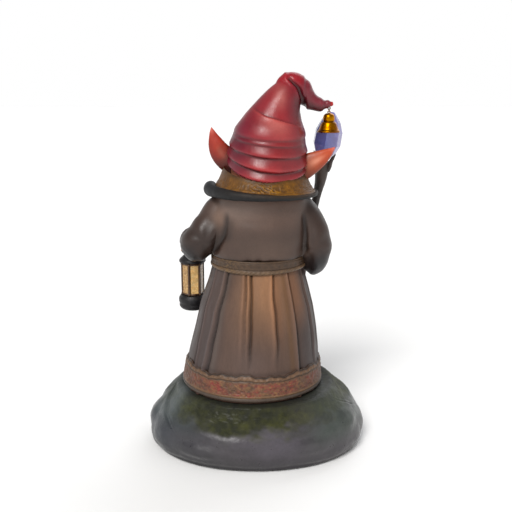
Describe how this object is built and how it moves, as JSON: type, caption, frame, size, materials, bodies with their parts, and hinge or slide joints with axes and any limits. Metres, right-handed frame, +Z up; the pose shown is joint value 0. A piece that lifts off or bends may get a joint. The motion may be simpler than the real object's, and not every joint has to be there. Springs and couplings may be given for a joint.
{
  "type": "garden gnome",
  "caption": "Garden gnome in a pointed hat and long belted robe on a mossy rock, holding a hanging lantern and a crystal staff, with a small bell on the hat's tip.",
  "frame": {"origin": "centre of the footprint, on the ground under the rock", "axes": "+Z up; the gnome looks along -Y; +X is the gnome's left, the side that holds the lantern"},
  "size_m": [0.209, 0.16, 0.3455],
  "materials": {
    "rock": "painted resin, satin, mossy on top",
    "plate": "matt",
    "rubber": "matt",
    "steel": "zinc plated",
    "robe": "painted resin, satin, brown with lighter ridges",
    "trim": "painted resin, embossed red and ochre",
    "belt": "painted resin, braided",
    "coat": "painted resin, satin, dark brown",
    "ochre": "painted resin, embossed ochre",
    "charcoal": "painted resin, satin",
    "skin": "painted resin, satin",
    "beard": "painted resin, satin",
    "hat": "painted resin, satin, red",
    "boot": "painted resin, satin",
    "bark": "painted resin, matt, carved wood grain",
    "crystal": "polished, translucent violet blue",
    "iron": "black, satin",
    "amber": "frosted amber",
    "wax": "satin",
    "brass": "polished, aged"
  },
  "bodies": {
    "figure": {"rock_base": "rock", "base_plate": "plate", "tie_rod": "steel", "tie_washer": "steel", "tie_nut": "steel", "rod_insert": "brass", "robe_skirt": "robe", "hem_band": "trim", "belt": "belt", "belt_buckle": "brass", "coat_body": "coat", "left_sleeve": "coat", "right_sleeve": "coat", "left_hand": "skin", "right_hand": "skin", "collar_rim": "charcoal", "collar_lining": "ochre", "head": "skin", "left_ear": "skin", "right_ear": "skin", "beard": "beard", "moustache": "beard", "hat": "hat", "left_boot": "boot", "right_boot": "boot", "hat_tip_eye": "brass", "foot_pad_1": "rubber", "base_screw_1": "steel", "foot_pad_2": "rubber", "base_screw_2": "steel", "foot_pad_3": "rubber", "base_screw_3": "steel", "foot_pad_4": "rubber", "base_screw_4": "steel"},
    "bell_link": {"bell_ring": "brass"},
    "bell": {"bell": "brass"},
    "clapper": {"bell_clapper": "brass"},
    "staff": {"staff_shaft": "bark", "staff_prong_1": "bark", "staff_prong_2": "bark", "staff_prong_3": "bark", "staff_ferrule": "iron", "crystal": "crystal"},
    "bail": {"lantern_bail": "iron"},
    "lantern": {"lantern_base": "iron", "lantern_frame": "iron", "lantern_roof": "iron", "lantern_candle": "wax", "bail_pin_left": "brass", "bail_pin_right": "brass", "lantern_pane_1": "amber", "lantern_pane_2": "amber", "lantern_pane_3": "amber", "lantern_pane_4": "amber", "lantern_pane_5": "amber", "lantern_pane_6": "amber"}
  },
  "joints": [
    {"name": "bell_link_swing", "type": "hinge", "parent": "figure", "child": "bell_link", "pos_m": [-0.0648, 0, 0.3136], "axis": [1, 0, 0], "range_deg": [-25, 25]},
    {"name": "bell_swing", "type": "hinge", "parent": "bell_link", "child": "bell", "pos_m": [-0.0648, 0, 0.31155], "axis": [0, 1, 0], "range_deg": [-25, 25]},
    {"name": "clapper_swing", "type": "hinge", "parent": "bell", "child": "clapper", "pos_m": [-0.0648, 0, 0.3079], "axis": [1, 0, 0], "range_deg": [-21, 21]},
    {"name": "staff_lift", "type": "slide", "parent": "figure", "child": "staff", "axis": [-0.1552, 0.0897, 0.9838], "range_m": [0, 0.16]},
    {"name": "bail_swing", "type": "hinge", "parent": "figure", "child": "bail", "pos_m": [0.063, -0.04, 0.1939], "axis": [1, 0, 0], "range_deg": [-22, 5]},
    {"name": "lantern_swing", "type": "hinge", "parent": "bail", "child": "lantern", "pos_m": [0.063, -0.04, 0.1763], "axis": [1, 0, 0], "range_deg": [-16, 4]}
  ]
}
